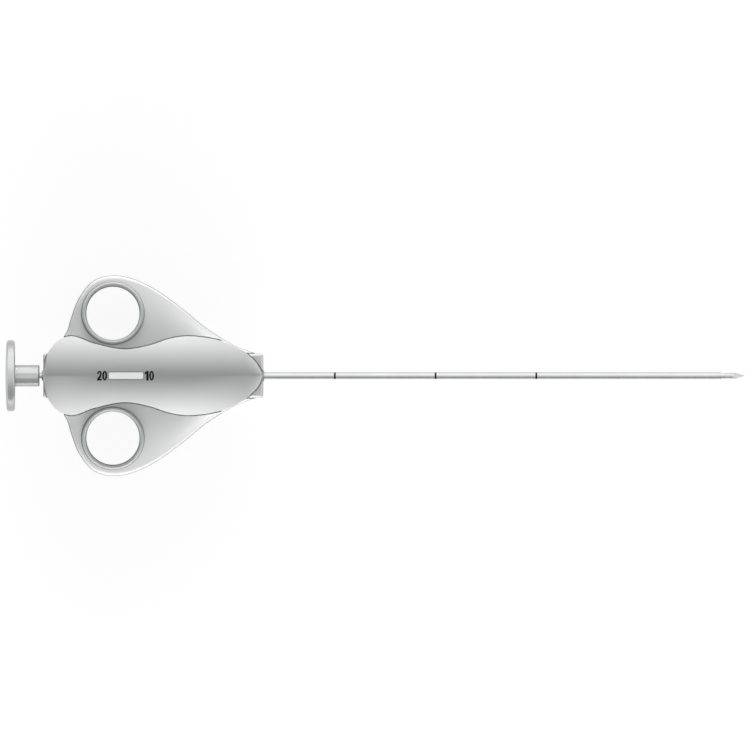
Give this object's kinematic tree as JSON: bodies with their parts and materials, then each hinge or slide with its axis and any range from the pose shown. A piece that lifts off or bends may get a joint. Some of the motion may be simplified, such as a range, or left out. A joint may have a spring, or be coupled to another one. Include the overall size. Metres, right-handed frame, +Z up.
{
  "type": "semi-automatic biopsy needle",
  "caption": "Semi-automatic core biopsy needle: heart-shaped finger grip with ringed holes, thumb plunger, throw window, sprung cutting cannula over a notched stylet.",
  "frame": {"origin": "middle of the flat pad under the lower cover, on which the needle lies", "axes": "+X along the needle to its tip, +Z up through the throw window, +Y across the finger rings"},
  "size_m": [0.3071, 0.0834, 0.0303],
  "materials": {
    "grip_plastic": "fine satin, moulded",
    "barrel_plastic": "satin, moulded",
    "cover_plastic": "satin, moulded",
    "clear_plastic": "clear, polished",
    "bush_steel": "turned",
    "dark_rubber": "matt",
    "spring_steel": "drawn wire",
    "plunger_plastic": "satin, moulded",
    "needle_steel": "ground and polished",
    "slide_plastic": "smooth, self-lubricating",
    "flag_plastic": "satin"
  },
  "bodies": {
    "housing": {"finger_grip_body": "grip_plastic", "barrel_cap": "barrel_plastic", "upper_cover": "cover_plastic", "window_lens": "clear_plastic", "lower_cover": "cover_plastic", "rear_bush": "bush_steel", "nose_bush": "bush_steel", "front_buffer": "dark_rubber", "sear_pin": "bush_steel", "sear_spring": "spring_steel", "drive_spring": "spring_steel"},
    "plunger_assembly": {"plunger": "plunger_plastic", "stylet": "needle_steel", "stylet_collar": "bush_steel"},
    "cannula_assembly": {"carriage": "slide_plastic", "throw_flag": "flag_plastic", "cannula_hub": "slide_plastic", "cannula": "needle_steel"},
    "sear": {"sear_lever": "bush_steel"}
  },
  "joints": [
    {"name": "plunger_slide", "type": "slide", "parent": "housing", "child": "plunger_assembly", "axis": [1, 0, 0], "range_m": [-0.02, 0.0008], "deforming": ["drive_spring"]},
    {"name": "cannula_slide", "type": "slide", "parent": "plunger_assembly", "child": "cannula_assembly", "axis": [1, 0, 0], "range_m": [-0.02, 0], "stiffness_N_per_m": 60, "springref_m": 0.005},
    {"name": "sear_hinge", "type": "hinge", "parent": "housing", "child": "sear", "pos_m": [0.0124, 0, 0.0051], "axis": [0, 1, 0], "range_deg": [0, 9.5], "stiffness_Nm_per_rad": 0.004, "springref_deg": -2.86}
  ]
}
